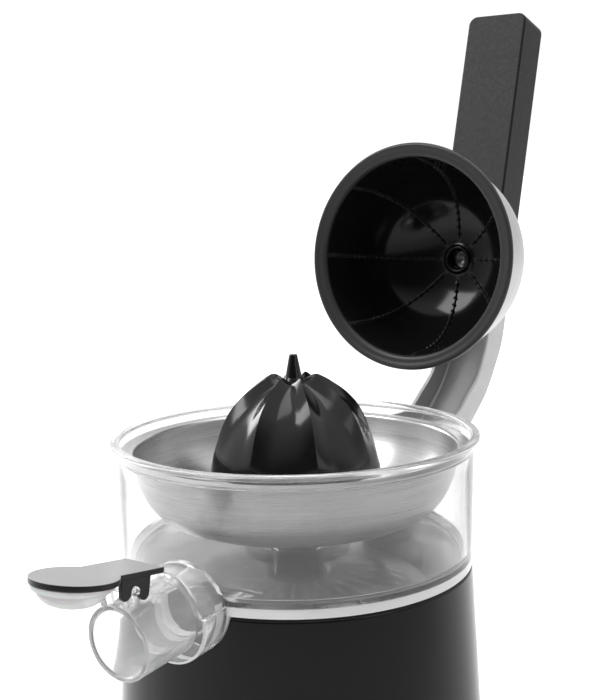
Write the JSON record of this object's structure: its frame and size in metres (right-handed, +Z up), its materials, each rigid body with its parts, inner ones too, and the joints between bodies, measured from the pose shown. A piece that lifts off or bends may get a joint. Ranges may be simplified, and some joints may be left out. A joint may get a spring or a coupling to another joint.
{
  "type": "lever citrus press",
  "caption": "Free-standing electric citrus press with a ridged cone in a clear juice container, a lever-mounted press cup and a spout with a flip-up drip stop.",
  "frame": {"origin": "on the cone's drive axis, in the plane that the foot ring stands on", "axes": "+Z up along the drive axis; -Y towards the spout; +Y towards the lever's hinge; +X to the right when looking from the spout at the lever"},
  "size_m": [0.1732, 0.3846, 0.4095],
  "materials": {
    "gloss_black": "glossy black moulding",
    "matte_black": "fine matte texture",
    "cup_black": "glossy black moulding",
    "rubber_black": "matte",
    "rubber_seal": "matte",
    "silicone": "milky translucent",
    "clear_plastic": "clear polished moulding",
    "brushed_bowl": "circular brushing",
    "polished_steel": "polished",
    "steel_bright": "turned",
    "steel_zinc": "zinc plated",
    "steel_plate": "mill finish",
    "silver_paint": "satin silver",
    "silver_cast": "satin silver casting",
    "grey_plastic": "glossy dark grey",
    "gear_nylon": "natural nylon",
    "brass": "sintered",
    "motor_can": "dull plated",
    "switch_blue": "moulded"
  },
  "bodies": {
    "base": {"motor_housing": "gloss_black", "deck_cover": "gloss_black", "base_plate": "matte_black", "foot_ring": "rubber_black", "base_screws": "steel_zinc", "top_plate": "polished_steel", "gear_plate_lower": "steel_plate", "gear_plate_upper": "steel_plate", "plate_spacers": "steel_zinc", "deck_spacers": "steel_zinc", "gearbox_screws": "steel_zinc", "gear_bushes": "brass", "motor_body": "motor_can", "motor_screws": "steel_zinc", "idler_axle": "steel_bright", "spindle_bush": "brass", "shaft_seal": "rubber_seal", "switch_body": "switch_blue", "switch_bracket": "steel_plate", "switch_screws": "steel_zinc", "cord_gland": "rubber_black", "hinge_post": "gloss_black", "post_bolts": "steel_zinc", "hinge_pin": "silver_paint", "hinge_washers": "gear_nylon"},
    "motor_rotor": {"motor_shaft": "steel_bright", "motor_pinion": "gear_nylon"},
    "idler": {"idler_gear": "gear_nylon"},
    "output": {"output_gear": "gear_nylon"},
    "drive_spindle": {"spindle": "steel_bright", "return_spring": "steel_bright"},
    "switch_button": {"switch_plunger": "gear_nylon"},
    "cone": {"reamer_cone": "cup_black"},
    "container": {"juice_container": "clear_plastic", "strainer_bowl": "brushed_bowl"},
    "drip": {"drip_lever": "grey_plastic", "drip_seal": "silicone"},
    "lever": {"lever_arm": "silver_cast", "handle_grip": "matte_black", "grip_screw": "steel_zinc", "cup_dome": "silver_paint", "cup_liner": "cup_black", "cup_screw": "cup_black"}
  },
  "joints": [
    {"name": "lever_hinge", "type": "hinge", "parent": "base", "child": "lever", "pos_m": [0, 0.09466, 0.18628], "axis": [-1, 0, 0], "range_deg": [-95.35, 0]},
    {"name": "container_lift", "type": "slide", "parent": "base", "child": "container", "axis": [0, 0, 1], "range_m": [0, 0.1]},
    {"name": "drip_hinge", "type": "hinge", "parent": "container", "child": "drip", "pos_m": [0, -0.1188, 0.172], "axis": [1, 0, 0], "range_deg": [0, 102.8]},
    {"name": "output_turn", "type": "hinge", "parent": "base", "child": "output", "pos_m": [0, 0, 0.12], "axis": [0, 0, 1], "continuous": true},
    {"name": "idler_turn", "type": "hinge", "parent": "base", "child": "idler", "pos_m": [0, 0.039, 0.116], "axis": [0, 0, 1], "continuous": true},
    {"name": "motor_turn", "type": "hinge", "parent": "base", "child": "motor_rotor", "pos_m": [0.024, 0.039, 0.11], "axis": [0, 0, 1], "continuous": true},
    {"name": "spindle_press", "type": "slide", "parent": "output", "child": "drive_spindle", "axis": [0, 0, 1], "range_m": [-0.003, 0], "stiffness_N_per_m": 2500, "springref_m": 0.003, "deforming": ["return_spring"]},
    {"name": "plunger_slide", "type": "slide", "parent": "base", "child": "switch_button", "axis": [0, 0, 1], "range_m": [-0.003, 0]},
    {"name": "cone_lift", "type": "slide", "parent": "drive_spindle", "child": "cone", "axis": [0, 0, 1], "range_m": [0, 0.1]}
  ],
  "couplings": [
    {"joint": "idler_turn", "follows": "output_turn", "ratio": -3.3333},
    {"joint": "motor_turn", "follows": "output_turn", "ratio": 10},
    {"joint": "plunger_slide", "follows": "spindle_press", "ratio": 1},
    {"joint": "cone_lift", "follows": "container_lift", "ratio": 1}
  ]
}
